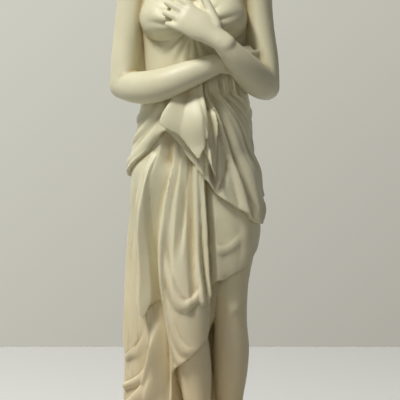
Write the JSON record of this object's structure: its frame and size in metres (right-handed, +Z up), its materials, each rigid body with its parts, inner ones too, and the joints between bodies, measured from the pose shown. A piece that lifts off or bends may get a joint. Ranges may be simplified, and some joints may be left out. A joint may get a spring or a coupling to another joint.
{
  "type": "draped female figurine",
  "caption": "Standing draped woman with folded arms and bare lower legs, cast in one with a low round plinth.",
  "frame": {"origin": "centre of the plinth's flat underside", "axes": "+Z up, the figure faces -Y, +X on the viewer's right"},
  "size_m": [0.096, 0.096, 0.317],
  "materials": {
    "ivory": "satin ivory-coloured cast stone"
  },
  "bodies": {
    "root": {"draped_figure": "ivory"}
  },
  "joints": []
}
